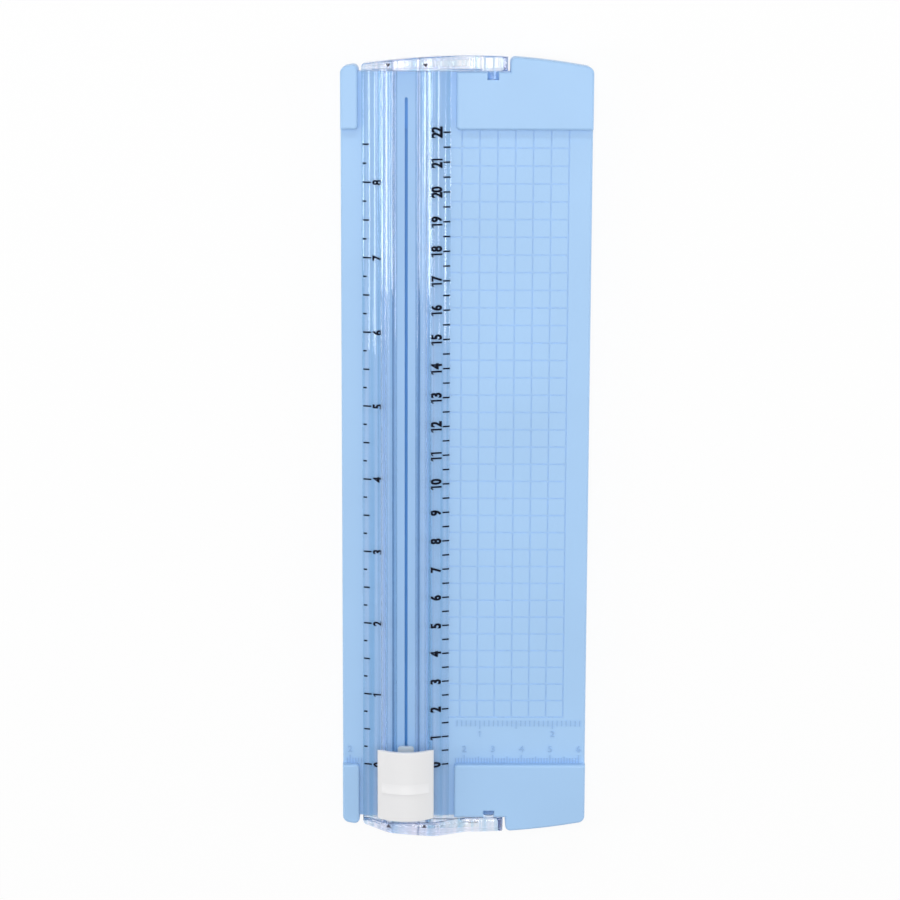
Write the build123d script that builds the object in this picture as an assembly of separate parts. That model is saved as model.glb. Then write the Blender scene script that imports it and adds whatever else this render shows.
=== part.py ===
from build123d import *
from build123d.topology import SkipClean
import math
import os

# A desk paper trimmer for small sheets. A moulded base carries a flat paper bed between raised end blocks.
# A clear rail lifts on two stub pins and holds a slider, which is pressed down and drawn along the cut line.
# Sizes are millimetres. X runs across the base, Y along the cut line and Z up from the table.

# Base outline and walls
BASE_LENGTH = 270.0
BASE_WIDTH = 84.7
END_BOW_RADIUS = 230.0
PLAN_CORNER_RADIUS = 2.5
NOTCH_TIP_RADIUS = 1.8
SIDE_WALL = 2.2
TOP_WALL = 2.4
TOP_EDGE_ROUND = 0.8

# Base heights above the table
FOOT_DROP = 1.2
BED_HEIGHT = 12.0
BLOCK_RISE = 3.2

# Paper bed and end blocks
BLOCK_LENGTH = 24.6
CUT_OFFSET = 20.3
LEFT_RAIL_GAP = 1.2
RIGHT_RAIL_GAP = 1.8
BLOCK_CORNER_RADIUS = 1.2

# Cutting groove
GROOVE_WIDTH = 1.0
GROOVE_DEPTH = 2.6
GROOVE_RUNOUT_DEPTH = 1.7
GROOVE_END_MARGIN = 14.0
GROOVE_BACKING = 2.0

# Debossed grid of the paper bed
GRID_PITCH = 6.0
GRID_LEFT_MARGIN = 3.75
GRID_RIGHT_MARGIN = 7.7
GRID_FRONT_MARGIN = 16.6
GRID_REAR_MARGIN = 5.2
GRID_LINE_WIDTH = 0.45
GRID_LINE_DEPTH = 0.25
GRID_STUB_LENGTH = 4.0

# Ribs and screw bosses under the bed
RIB_THICKNESS = 1.6
CROSS_RIB_SPACING = 70.0
CROSS_RIB_COUNT = 4
BOSS_RADIUS = 3.0
BOSS_SIDE_MARGIN = 3.3
BOSS_FOOT_GAP = 4.0
BOSS_ROW_COUNT = 4

# Bottom cover and its screws
COVER_THICKNESS = 1.6
COVER_RECESS = 0.2
COVER_GAP = 0.2
SCREW_SHANK_RADIUS = 1.1
SCREW_HEAD_RADIUS = 2.2
SCREW_HEAD_HEIGHT = 0.9
SCREW_LENGTH = 6.0
SCREW_GAP = 0.05
SCREW_SLOT_WIDTH = 0.6
SCREW_SLOT_DEPTH = 0.5

# Rubber feet
FOOT_RADIUS = 5.0
FOOT_MARGIN = 1.6
FOOT_SEAT_DEPTH = 0.8
FOOT_SEAT_GAP = 0.15
FOOT_EDGE_ROUND = 0.4

# Blade, its carrier and its pin
BLADE_THICKNESS = 0.5
BLADE_LENGTH = 7.2
BLADE_TIP_HEIGHT = 0.7
BLADE_BEVEL_HEIGHT = 2.6
CARRIER_WALL = 1.4
CARRIER_END_WALL = 0.5
CARRIER_GAP = 0.25
CARRIER_BED_CLEARANCE = 0.9
LUG_WALL = 1.45
LUG_END_WALL = 0.4
LUG_CLEARANCE = 0.6
BLADE_PIN_RADIUS = 0.75
BLADE_PIN_GAP = 0.02
BLADE_PIN_EDGE = 1.6

# Slider: cap and runner
SLIDE_GAP = 0.3
SLIDER_END_GAP = 2.6
PRESS_TRAVEL = 2.0
CAP_END_MARGIN = 2.15
CAP_WALL = 0.9
CAP_ROOF = 1.4
CAP_RISE = 4.2
CAP_SHOULDER_ROUND = 1.6
CAP_RIM_ROUND = 0.4
CAP_REAR_SWEEP = 2.2
CAP_HOOK_HEIGHT = 0.8
CAP_HOOK_REACH = 0.7
FINGER_RIDGE_RISE = 0.8
FINGER_RIDGE_LENGTH = 4.2
FINGER_RIDGE_SETBACK = 2.3
FINGER_RIDGE_SIDE = 1.6
FINGER_RIDGE_ROOT = 0.5
FINGER_RIDGE_SINK = 0.05
RUNNER_THICKNESS = 2.0
RUNNER_FLOOR_GAP = 0.2
RUNNER_FRONT_INSET = 0.7
RUNNER_REAR_INSET = 3.6
NOSE_INSET = 0.6
NOSE_THICKNESS = 1.2
NOSE_ROUND = 1.0
KEEL_WALL = 0.9
KEEL_CLEARANCE = 0.5

# Press springs
SPRING_RADIUS = 2.0
SPRING_WIRE = 0.4
SPRING_TURNS = 5
SPRING_LENGTH = 6.0
SPRING_SEAT_GAP = 0.05
SPRING_POST_RADIUS = 1.3
SPRING_POST_HEIGHT = 1.4
SPRING_PAD_RADIUS = 2.6
SPRING_LUG_GAP = 0.5

# Rail section
RAIL_GAP = 0.25
SLOT_WALL = 1.5
SLOT_ROUND = 1.2
CHANNEL_LEDGE = 3.7
CHANNEL_FLOOR_HEIGHT = 2.8
CHANNEL_FLOOR_WALL = 1.4
RIDGE_WALL = 1.05
RIDGE_ROUND = 0.5
LIP_REACH = 0.7
LIP_HEIGHT = 1.2
SHELF_WIDTH = 1.35
SHELF_ROUND = 3.0
FLANGE_WIDTH = 5.8
FLANGE_EDGE = 0.6
FLANGE_THICKNESS = 1.3

# Rail arms and stub pins
ARM_GAP = 0.4
ARM_END_WIDTH = 2.4
ARM_WALL = 1.5
ARM_SHOULDER = 1.8
ARM_CROWN = 8.5
ARM_CROWN_LEFT = 6.0
ARM_CROWN_RIGHT = 10.0
ARM_CROWN_ROUND = 7.0
ARM_FALL_WIDTH = 11.0
ARM_CORNER_ROUND = 1.4
ARM_INNER_ROUND = 1.2
ARM_OUTER_ROUND = 0.8
ARM_TAIL_DROP = 0.3
ARM_TAIL_RADIUS = 5.0
ARM_TAIL_GAP = 0.85
HINGE_REACH = 29.0
HINGE_RISE = 0.4
PIN_RADIUS = 2.0
PIN_LENGTH = 2.7
PIN_RUNNING_GAP = 0.05
PIN_END_GAP = 0.25
SOCKET_SNAP = 0.4
SOCKET_LEAD = 0.2
SOCKET_LEAD_DEPTH = 0.6
SOCKET_WALL = 2.0

# Widths across the slider and the rail, each measured from the cut line
CUT_X = -CUT_OFFSET
CARRIER_HALF = BLADE_THICKNESS / 2 + CARRIER_WALL
LUG_HALF = CARRIER_HALF + LUG_WALL
WINDOW_HALF = CARRIER_HALF + CARRIER_GAP
KEEL_HALF = WINDOW_HALF + KEEL_WALL
SLOT_HALF = KEEL_HALF + SLIDE_GAP
CHANNEL_HALF = SLOT_HALF + CHANNEL_LEDGE
RIDGE_HALF = CHANNEL_HALF + RIDGE_WALL
LIP_HALF = RIDGE_HALF + LIP_REACH
SHELF_HALF = RIDGE_HALF + SHELF_WIDTH
RAIL_HALF = SHELF_HALF + FLANGE_WIDTH
CAP_INNER_HALF = LIP_HALF + SLIDE_GAP
CAP_HALF = CAP_INNER_HALF + CAP_WALL
HINGE_X = CUT_X + HINGE_REACH
NOTCH_LEFT_X = CUT_X - RAIL_HALF - LEFT_RAIL_GAP
NOTCH_RIGHT_X = HINGE_X + ARM_TAIL_RADIUS + ARM_TAIL_GAP

# Heights above the table
COVER_BOTTOM_Z = FOOT_DROP + COVER_RECESS
COVER_TOP_Z = COVER_BOTTOM_Z + COVER_THICKNESS
BLOCK_TOP_Z = BED_HEIGHT + BLOCK_RISE
HINGE_Z = BED_HEIGHT + HINGE_RISE
ARM_BOTTOM_Z = HINGE_Z - ARM_TAIL_RADIUS
ARM_TAIL_TOP_Z = BLOCK_TOP_Z - ARM_TAIL_DROP
RAIL_BOTTOM_Z = BED_HEIGHT + RAIL_GAP
CHANNEL_FLOOR_Z = BED_HEIGHT + CHANNEL_FLOOR_HEIGHT
CAP_BOTTOM_Z = CHANNEL_FLOOR_Z + SLIDE_GAP + PRESS_TRAVEL
CAP_HOOK_TOP_Z = CAP_BOTTOM_Z + CAP_HOOK_HEIGHT
LIP_BOTTOM_Z = CAP_HOOK_TOP_Z + SLIDE_GAP
RIDGE_TOP_Z = LIP_BOTTOM_Z + LIP_HEIGHT
CAP_EAVES_Z = RIDGE_TOP_Z + PRESS_TRAVEL + SLIDE_GAP
CAP_SHOULDER_Z = CAP_EAVES_Z + CAP_WALL
CAP_CROWN_Z = CAP_SHOULDER_Z + CAP_RISE
RUNNER_BOTTOM_Z = CHANNEL_FLOOR_Z + RUNNER_FLOOR_GAP
RUNNER_TOP_Z = RUNNER_BOTTOM_Z + RUNNER_THICKNESS
LUG_BOTTOM_Z = RUNNER_TOP_Z + PRESS_TRAVEL + LUG_CLEARANCE
BLADE_PIN_Z = LUG_BOTTOM_Z + BLADE_PIN_EDGE
BLADE_TOP_Z = BLADE_PIN_Z + BLADE_PIN_EDGE
BLADE_TIP_Z = BED_HEIGHT + BLADE_TIP_HEIGHT
SPRING_PAD_Z = RUNNER_TOP_Z + SPRING_LENGTH + 2 * SPRING_SEAT_GAP

# Lengths along the slider
CARRIER_LENGTH = BLADE_LENGTH + 2 * CARRIER_END_WALL
LUG_LENGTH = CARRIER_LENGTH + 2 * LUG_END_WALL
SPRING_OFFSET = LUG_LENGTH / 2 + SPRING_LUG_GAP + SPRING_PAD_RADIUS
SLIDER_LENGTH = 2 * (SPRING_OFFSET + SPRING_PAD_RADIUS + CAP_END_MARGIN)

# A reach past every edge of the part
FAR = BASE_LENGTH


def bow_y(x, inset):
    """How far the bowed rear end reaches at a place across the base, drawn in by an even inset."""
    bow_radius = END_BOW_RADIUS - inset
    return BASE_LENGTH / 2 - inset - bow_radius + math.sqrt(bow_radius ** 2 - x ** 2)


# Places along the base
BED_LENGTH = BASE_LENGTH - 2 * BLOCK_LENGTH
NOTCH_Y = bow_y(CUT_X - RAIL_HALF, 0) - ARM_END_WIDTH - ARM_GAP
ARM_INNER_Y = NOTCH_Y + ARM_GAP
PIN_TIP_Y = ARM_INNER_Y - PIN_LENGTH
SOCKET_END_Y = PIN_TIP_Y - PIN_END_GAP
FOOT_Y = NOTCH_Y - SIDE_WALL - COVER_GAP - FOOT_MARGIN - FOOT_RADIUS
BOSS_END_Y = FOOT_Y - FOOT_RADIUS - BOSS_FOOT_GAP - BOSS_RADIUS
SLIDER_Y = SLIDER_END_GAP + SLIDER_LENGTH / 2 - ARM_INNER_Y


def block(x_range, y_range, z_range):
    """A box between two limits on each axis."""
    size = [high - low for low, high in (x_range, y_range, z_range)]
    middle = [(high + low) / 2 for low, high in (x_range, y_range, z_range)]
    return Pos(*middle) * Box(*size)


def around(middle, half):
    """The limits of a stretch with a given middle and half length."""
    return (middle - half, middle + half)


def both_ends(shape):
    """A shape and its mirror image at the other end of the base."""
    return shape + mirror(shape, Plane.XZ)


def bowed_plan(inset):
    """The base's plan with bowed ends, drawn in by an even inset."""
    half_width = BASE_WIDTH / 2 - inset
    corner_y = bow_y(half_width, inset)
    end_y = bow_y(0, inset)
    rear = ThreePointArc((-half_width, corner_y), (0, end_y), (half_width, corner_y))
    right = Line((half_width, corner_y), (half_width, -corner_y))
    front = ThreePointArc((half_width, -corner_y), (0, -end_y), (-half_width, -corner_y))
    left = Line((-half_width, -corner_y), (-half_width, corner_y))
    return make_face([rear, right, front, left])


def base_plan():
    """The base's plan: bowed ends, a notch in each end for the rail's arm, and rounded corners."""
    plan = bowed_plan(0)
    plan = fillet(plan.vertices(), PLAN_CORNER_RADIUS)
    notch = Rectangle(NOTCH_RIGHT_X - NOTCH_LEFT_X, FAR)
    notch = Pos((NOTCH_LEFT_X + NOTCH_RIGHT_X) / 2, NOTCH_Y + FAR / 2) * notch
    plan -= both_ends(notch)
    tips = plan.vertices().filter_by_position(Axis.X, NOTCH_LEFT_X - ARM_GAP, NOTCH_RIGHT_X + ARM_GAP)
    return fillet([tip for tip in tips if abs(tip.Y) > ARM_INNER_Y], NOTCH_TIP_RADIUS)


def end_notches(margin, z_range):
    """The space of the two end notches for the rail's arms, grown by a margin into the base."""
    x_range = (NOTCH_LEFT_X - margin, NOTCH_RIGHT_X + margin)
    return both_ends(block(x_range, (NOTCH_Y - margin, FAR), z_range))


def inner_space(inset, z_range):
    """The space inside the side walls, with a straight wall across the left ends and round the notches."""
    height = z_range[1] - z_range[0]
    space = Pos(0, 0, z_range[0]) * extrude(bowed_plan(inset), amount=height)
    left_ends = both_ends(block((-FAR, CUT_X), (NOTCH_Y - inset, FAR), z_range))
    return space - left_ends - end_notches(inset, z_range)


def end_blocks():
    """The outlines of the four raised end blocks, as prisms that run out past the base all round."""
    z_range = (0, FAR)
    y_range = (BED_LENGTH / 2, FAR)
    left = block((-FAR, NOTCH_LEFT_X), y_range, z_range)
    right = block((CUT_X + RAIL_HALF + RIGHT_RAIL_GAP, FAR), y_range, z_range)
    left = fillet(left.edges().filter_by(Axis.Z), BLOCK_CORNER_RADIUS)
    right = fillet(right.edges().filter_by(Axis.Z), BLOCK_CORNER_RADIUS)
    return both_ends(left + right)


def rounded_top(body):
    """The base with its top edges rounded: round the end blocks and along both sides of the bed."""
    body = fillet(body.edges().group_by(Axis.Z)[-1], TOP_EDGE_ROUND)
    bed_level = around(BED_HEIGHT, TOP_EDGE_ROUND / 2)
    lengthwise = body.edges().filter_by(Axis.Y).filter_by_position(Axis.Z, *bed_level).sort_by(Axis.X)
    return fillet([lengthwise[0], lengthwise[-1]], TOP_EDGE_ROUND)


def groove():
    """The cutting groove with round ends, shallower where it runs out past the rear end of the bed."""
    outline = Rot(0, 0, 90) * SlotOverall(BASE_LENGTH - 2 * GROOVE_END_MARGIN, GROOVE_WIDTH)
    slot = Pos(CUT_X, 0, BED_HEIGHT - GROOVE_DEPTH) * extrude(outline, amount=2 * GROOVE_DEPTH)
    runout_z = (0, BED_HEIGHT - GROOVE_RUNOUT_DEPTH)
    return slot - block(around(CUT_X, GROOVE_WIDTH), (BED_LENGTH / 2, FAR), runout_z)


def grid_lines():
    """The debossed grid: a plate with one hole for each square, and lines that run on past its edges."""
    first_x = CUT_X + RAIL_HALF + GRID_LEFT_MARGIN
    first_y = GRID_FRONT_MARGIN - BED_LENGTH / 2
    columns = int((BASE_WIDTH / 2 - GRID_RIGHT_MARGIN - first_x) / GRID_PITCH)
    rows = int((BED_LENGTH / 2 - GRID_REAR_MARGIN - first_y) / GRID_PITCH)
    width = GRID_PITCH * columns
    length = GRID_PITCH * rows
    middle = Pos(first_x + width / 2, first_y + length / 2)
    outline = middle * Rectangle(width + GRID_LINE_WIDTH, length + GRID_LINE_WIDTH)
    square = Rectangle(GRID_PITCH - GRID_LINE_WIDTH, GRID_PITCH - GRID_LINE_WIDTH)
    places = GridLocations(GRID_PITCH, GRID_PITCH, columns, rows)
    squares = [(middle * place * square).wire() for place in places]
    z_range = around(BED_HEIGHT, GRID_LINE_DEPTH)
    plate = extrude(Face(outline.wire(), squares), amount=2 * GRID_LINE_DEPTH)
    cutters = [Pos(0, 0, z_range[0]) * plate]
    stub_end = first_x - GRID_LINE_WIDTH / 2
    for row in range(rows + 1):
        y_range = around(first_y + row * GRID_PITCH, GRID_LINE_WIDTH / 2)
        cutters.append(block((stub_end - GRID_STUB_LENGTH, stub_end), y_range, z_range))
    column_y = (first_y + length + GRID_LINE_WIDTH / 2, BED_LENGTH / 2 - GRID_LINE_WIDTH)
    for column in range(columns + 1):
        x_range = around(first_x + column * GRID_PITCH, GRID_LINE_WIDTH / 2)
        cutters.append(block(x_range, column_y, z_range))
    return cutters


def boss_places():
    """Where the screw bosses stand, in two rows along the base."""
    across = BASE_WIDTH - 2 * (SIDE_WALL + BOSS_SIDE_MARGIN + BOSS_RADIUS)
    spacing = 2 * BOSS_END_Y / (BOSS_ROW_COUNT - 1)
    return GridLocations(across, spacing, 2, BOSS_ROW_COUNT)


def foot_places():
    """Where the rubber feet sit, by name."""
    foot_x = BASE_WIDTH / 2 - SIDE_WALL - COVER_GAP - FOOT_MARGIN - FOOT_RADIUS
    return {
        "foot_front_left": Pos(-foot_x, -FOOT_Y),
        "foot_front_right": Pos(foot_x, -FOOT_Y),
        "foot_rear_left": Pos(-foot_x, FOOT_Y),
        "foot_rear_right": Pos(foot_x, FOOT_Y),
    }


def socket_lumps():
    """The lumps under the end blocks that the hinge sockets are cut in."""
    reach = PIN_RADIUS + PIN_RUNNING_GAP + SOCKET_WALL
    y_range = (SOCKET_END_Y - SOCKET_WALL, NOTCH_Y)
    return both_ends(block(around(HINGE_X, reach), y_range, (HINGE_Z - reach, BLOCK_TOP_Z)))


def hinge_sockets():
    """Open-top snap sockets for the rail's stub pins: a bore, a narrow mouth and a sloping lead-in."""
    depth = NOTCH_Y - SOCKET_END_Y
    mouth_half = PIN_RADIUS - SOCKET_SNAP / 2
    rod = Cylinder(PIN_RADIUS + PIN_RUNNING_GAP, 2 * depth)
    bore = Pos(HINGE_X, NOTCH_Y, HINGE_Z) * Rot(90, 0, 0) * rod
    y_range = around(NOTCH_Y, depth)
    mouth = block(around(HINGE_X, mouth_half), y_range, (HINGE_Z, BLOCK_TOP_Z + BLOCK_RISE))
    narrow = Rectangle(2 * mouth_half, 2 * depth)
    wide = Rectangle(2 * (mouth_half + SOCKET_LEAD), 2 * depth)
    place = Pos(HINGE_X, NOTCH_Y, BLOCK_TOP_Z)
    lead = loft([place * Pos(0, 0, -SOCKET_LEAD_DEPTH) * narrow, place * wide], ruled=True)
    return both_ends(bore + mouth + lead)


def base_cavity():
    """The hollow under the bed and under the two right end blocks."""
    cavity = inner_space(SIDE_WALL, (0, BED_HEIGHT - TOP_WALL))
    pocket_z = (0, BLOCK_TOP_Z - TOP_WALL)
    pocket_x = (CUT_X + RAIL_HALF + RIGHT_RAIL_GAP + TOP_WALL, FAR)
    pockets = both_ends(block(pocket_x, (BED_LENGTH / 2 + TOP_WALL, FAR), pocket_z))
    return cavity + (inner_space(SIDE_WALL, pocket_z) & pockets)


def base_stiffeners():
    """What stands in the hollow: the groove's backing, cross ribs, screw bosses and socket lumps."""
    top_z = BLOCK_TOP_Z
    backing_x = around(CUT_X, GROOVE_WIDTH / 2 + GROOVE_BACKING)
    backing_y = around(0, BASE_LENGTH / 2 - GROOVE_END_MARGIN + GROOVE_BACKING)
    backing_z = (BED_HEIGHT - GROOVE_DEPTH - GROOVE_BACKING, top_z)
    shapes = socket_lumps() + block(backing_x, backing_y, backing_z)
    rib_x = around(0, BASE_WIDTH / 2)
    for place in GridLocations(0, CROSS_RIB_SPACING, 1, CROSS_RIB_COUNT):
        rib_y = around(place.position.Y, RIB_THICKNESS / 2)
        shapes += block(rib_x, rib_y, (COVER_TOP_Z, top_z))
    for place in boss_places():
        boss = extrude(Circle(BOSS_RADIUS), amount=top_z - COVER_TOP_Z)
        shapes += Pos(0, 0, COVER_TOP_Z) * place * boss
    return shapes


def screw_holes():
    """Pilot holes in the bosses, as deep as the screws reach."""
    depth = SCREW_LENGTH + SCREW_HEAD_HEIGHT - COVER_THICKNESS
    hole = extrude(Circle(SCREW_SHANK_RADIUS + SCREW_GAP), amount=depth)
    return [Pos(0, 0, COVER_TOP_Z) * place * hole for place in boss_places()]


def base_shell():
    """The moulded base: bed, end blocks, grid, groove, ribs, screw bosses and hinge sockets."""
    prism = Pos(0, 0, FOOT_DROP) * extrude(base_plan(), amount=BLOCK_TOP_Z - FOOT_DROP)
    above_bed = block(around(0, FAR), around(0, FAR), (BED_HEIGHT, FAR))
    body = prism - (above_bed - end_blocks())
    body = rounded_top(body) - (base_cavity() - base_stiffeners())
    body = body - hinge_sockets() - groove() - screw_holes()
    with SkipClean():
        return body - grid_lines()


def bottom_cover():
    """The plate that closes the underside, with screw holes and seats for the feet."""
    plate = inner_space(SIDE_WALL + COVER_GAP, (COVER_BOTTOM_Z, COVER_TOP_Z))
    head_seat = extrude(Circle(SCREW_HEAD_RADIUS + SCREW_GAP), amount=SCREW_HEAD_HEIGHT)
    shank_hole = extrude(Circle(SCREW_SHANK_RADIUS + SCREW_GAP), amount=COVER_THICKNESS)
    for place in boss_places():
        plate -= Pos(0, 0, COVER_BOTTOM_Z) * place * (head_seat + shank_hole)
    foot_seat = extrude(Circle(FOOT_RADIUS + FOOT_SEAT_GAP), amount=FOOT_SEAT_DEPTH)
    for place in foot_places().values():
        plate -= Pos(0, 0, COVER_BOTTOM_Z) * place * foot_seat
    return plate


def cover_screws():
    """Eight slotted screws, heads flush with the underside of the cover."""
    head = extrude(Circle(SCREW_HEAD_RADIUS), amount=SCREW_HEAD_HEIGHT)
    shank = extrude(Circle(SCREW_SHANK_RADIUS), amount=SCREW_HEAD_HEIGHT + SCREW_LENGTH)
    slot = block(around(0, 2 * SCREW_HEAD_RADIUS), around(0, SCREW_SLOT_WIDTH / 2), (0, SCREW_SLOT_DEPTH))
    screw = (head + shank - slot).solid()
    return Compound([Pos(0, 0, COVER_BOTTOM_Z) * place * screw for place in boss_places()])


def rubber_foot(place):
    """One round rubber foot, seated in the cover."""
    disc = extrude(Circle(FOOT_RADIUS), amount=COVER_BOTTOM_Z + FOOT_SEAT_DEPTH)
    return place * fillet(disc.edges().group_by(Axis.Z)[0], FOOT_EDGE_ROUND)


def rail_bar():
    """The straight bar: two mirrored halves with a flange, a ridge, a channel floor and a slot wall each."""
    edge_z = RAIL_BOTTOM_Z + FLANGE_EDGE
    slope = (CHANNEL_FLOOR_Z - edge_z) / FLANGE_WIDTH
    floor_bottom_z = CHANNEL_FLOOR_Z - CHANNEL_FLOOR_WALL
    foot_inner = SHELF_HALF + (CHANNEL_FLOOR_Z - FLANGE_THICKNESS - RAIL_BOTTOM_Z) / slope
    hollow_edge = SHELF_HALF + (CHANNEL_FLOOR_WALL - FLANGE_THICKNESS) / slope
    outline = Polyline(
        (SLOT_HALF, RAIL_BOTTOM_Z),
        (SLOT_HALF, CHANNEL_FLOOR_Z),
        (CHANNEL_HALF, CHANNEL_FLOOR_Z),
        (CHANNEL_HALF, RIDGE_TOP_Z),
        (LIP_HALF, RIDGE_TOP_Z),
        (LIP_HALF, LIP_BOTTOM_Z),
        (RIDGE_HALF, LIP_BOTTOM_Z),
        (RIDGE_HALF, CHANNEL_FLOOR_Z),
        (SHELF_HALF, CHANNEL_FLOOR_Z),
        (RAIL_HALF, edge_z),
        (RAIL_HALF, RAIL_BOTTOM_Z),
        (foot_inner, RAIL_BOTTOM_Z),
        (hollow_edge, floor_bottom_z),
        (SLOT_HALF + SLOT_WALL, floor_bottom_z),
        (SLOT_HALF + SLOT_WALL, RAIL_BOTTOM_Z),
        close=True,
    )
    section = make_face(Plane.XZ * outline)
    section = fillet(section.vertices().group_by(Axis.Z)[-1], RIDGE_ROUND)
    section = fillet(section.vertices().group_by(Axis.X)[0].sort_by(Axis.Z)[-1], SLOT_ROUND)
    section = fillet(section.vertices().sort_by_distance((SHELF_HALF, 0, CHANNEL_FLOOR_Z))[0], SHELF_ROUND)
    half = extrude(section, amount=ARM_INNER_Y + ARM_WALL / 2, both=True)
    return Pos(CUT_X, 0, 0) * (half + mirror(half, Plane.YZ))


def arm_outline():
    """An arm seen from the end: an arched crown over the bar and a round tail about the hinge."""
    left = CUT_X - RAIL_HALF
    crown_z = BED_HEIGHT + ARM_CROWN
    crown_right = CUT_X + ARM_CROWN_RIGHT
    tail_reach = math.sqrt(ARM_TAIL_RADIUS ** 2 - (ARM_TAIL_TOP_Z - HINGE_Z) ** 2)
    outline = Polyline(
        (HINGE_X, ARM_BOTTOM_Z),
        (left, ARM_BOTTOM_Z),
        (left, BED_HEIGHT + ARM_SHOULDER),
        (CUT_X - ARM_CROWN_LEFT, crown_z),
        (crown_right, crown_z),
        (crown_right + ARM_FALL_WIDTH, ARM_TAIL_TOP_Z),
        (HINGE_X + tail_reach, ARM_TAIL_TOP_Z),
    )
    tail = ThreePointArc(
        (HINGE_X + tail_reach, ARM_TAIL_TOP_Z),
        (HINGE_X + ARM_TAIL_RADIUS, HINGE_Z),
        (HINGE_X, ARM_BOTTOM_Z),
    )
    face = make_face(Plane.XZ * (outline + tail))
    return fillet(face.vertices().group_by(Axis.Z)[-1], ARM_CROWN_ROUND)


def arm_hollow():
    """The space under an arm, seen from the end: from its open bottom up to a level roof."""
    left = CUT_X - RAIL_HALF + ARM_WALL
    right = HINGE_X - PIN_RADIUS - ARM_WALL
    roof_z = ARM_TAIL_TOP_Z - ARM_WALL
    return Plane.XZ * Pos((left + right) / 2, roof_z / 2) * Rectangle(right - left, roof_z)


def rounded_crown(arm):
    """The arm with the edges of its upper side rounded, more on the side of the bar than on the outside."""
    lowest_z = BED_HEIGHT + ARM_SHOULDER - ARM_GAP
    inner = around(ARM_INNER_Y, ARM_GAP)
    upper = arm.edges().filter_by(lambda edge: edge.bounding_box().min.Z > lowest_z)
    arm = fillet(upper.filter_by_position(Axis.Y, *inner), ARM_INNER_ROUND)
    upper = arm.edges().filter_by(lambda edge: edge.bounding_box().min.Z > lowest_z)
    outer = [edge for edge in upper if edge.bounding_box().min.Y > ARM_INNER_Y + ARM_INNER_ROUND + ARM_GAP]
    return fillet(outer, ARM_OUTER_ROUND)


def rail_arm():
    """The arm at the rear end: hollow from below, with its stub pin."""
    behind_bar = Pos(0, ARM_INNER_Y + FAR / 2) * Rectangle(2 * FAR, FAR)
    plan = bowed_plan(0) & behind_bar
    solid = extrude(plan, amount=FAR, dir=(0, 0, 1)) & extrude(arm_outline(), amount=FAR, dir=(0, 1, 0))
    outer_corner = solid.edges().filter_by(Axis.Z).sort_by(Axis.X)[:2].sort_by(Axis.Y)[-1]
    solid = fillet(outer_corner, min(ARM_CORNER_ROUND, ARM_END_WIDTH * 2 / 3))
    solid = rounded_crown(solid)
    inside = bowed_plan(ARM_WALL) & (Pos(0, ARM_WALL) * behind_bar)
    hollow = extrude(inside, amount=FAR, dir=(0, 0, 1)) & extrude(arm_hollow(), amount=FAR, dir=(0, 1, 0))
    pin = Pos(HINGE_X, PIN_TIP_Y, HINGE_Z) * Rot(-90, 0, 0) * extrude(Circle(PIN_RADIUS), amount=PIN_LENGTH)
    return solid - hollow + pin


def clear_rail():
    """The clear moulding: bar, two arms and two stub pins."""
    return rail_bar() + both_ends(rail_arm())


def arched_face(half_width, foot_z, eaves_z, crown_z):
    """A face across the slider: straight sides under an arched roof."""
    sides = Polyline(
        (-half_width, eaves_z),
        (-half_width, foot_z),
        (half_width, foot_z),
        (half_width, eaves_z),
    )
    roof = ThreePointArc((half_width, eaves_z), (0, crown_z), (-half_width, eaves_z))
    return make_face(Plane.XZ * (sides + roof))


def along_slider(face):
    """A face across the slider, drawn out to both ends of the cap."""
    return Pos(CUT_X, SLIDER_Y, 0) * extrude(face, amount=SLIDER_LENGTH / 2, both=True)


def finger_ridge():
    """The wedge across the cap that the finger pushes: a curved ramp at the rear and a step at the front."""
    half_width = CAP_HALF - FINGER_RIDGE_SIDE
    roof_radius = (CAP_HALF ** 2 + CAP_RISE ** 2) / (2 * CAP_RISE)
    side_z = CAP_CROWN_Z - roof_radius + math.sqrt(roof_radius ** 2 - half_width ** 2)
    root_z = side_z - FINGER_RIDGE_ROOT
    rear_y = SLIDER_Y - FINGER_RIDGE_SETBACK + FINGER_RIDGE_LENGTH
    sections = []
    for share in (0, 0.5, 1):
        lift = (FINGER_RIDGE_RISE + FINGER_RIDGE_SINK) * share ** 2 - FINGER_RIDGE_SINK
        face = arched_face(half_width, root_z, side_z + lift, CAP_CROWN_Z + lift)
        sections.append(Pos(CUT_X, rear_y - share * FINGER_RIDGE_LENGTH, 0) * face)
    return loft(sections)


def rear_sweep():
    """What is cut off the cap's rear end: all behind a line that leans forward below the shoulder."""
    rear_y = SLIDER_Y + SLIDER_LENGTH / 2
    height = CAP_SHOULDER_Z - CAP_BOTTOM_Z
    outline = Polyline(
        (rear_y + CAP_REAR_SWEEP, CAP_SHOULDER_Z + height),
        (rear_y - 2 * CAP_REAR_SWEEP, CAP_BOTTOM_Z - height),
        (rear_y + CAP_REAR_SWEEP, CAP_BOTTOM_Z - height),
        close=True,
    )
    return Pos(CUT_X, 0, 0) * extrude(make_face(Plane.YZ * outline), amount=2 * CAP_HALF, both=True)


def spring_places(z):
    """Where the front and the rear press spring stand, at a given height."""
    return [Pos(CUT_X, SLIDER_Y + side * SPRING_OFFSET, z) for side in (-1, 1)]


def blade_pin(gap):
    """The blade pin's cylinder across the slider, with a gap all round."""
    rod = Cylinder(BLADE_PIN_RADIUS + gap, 2 * LUG_HALF)
    return Pos(CUT_X, SLIDER_Y, BLADE_PIN_Z) * Rot(0, 90, 0) * rod


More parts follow.
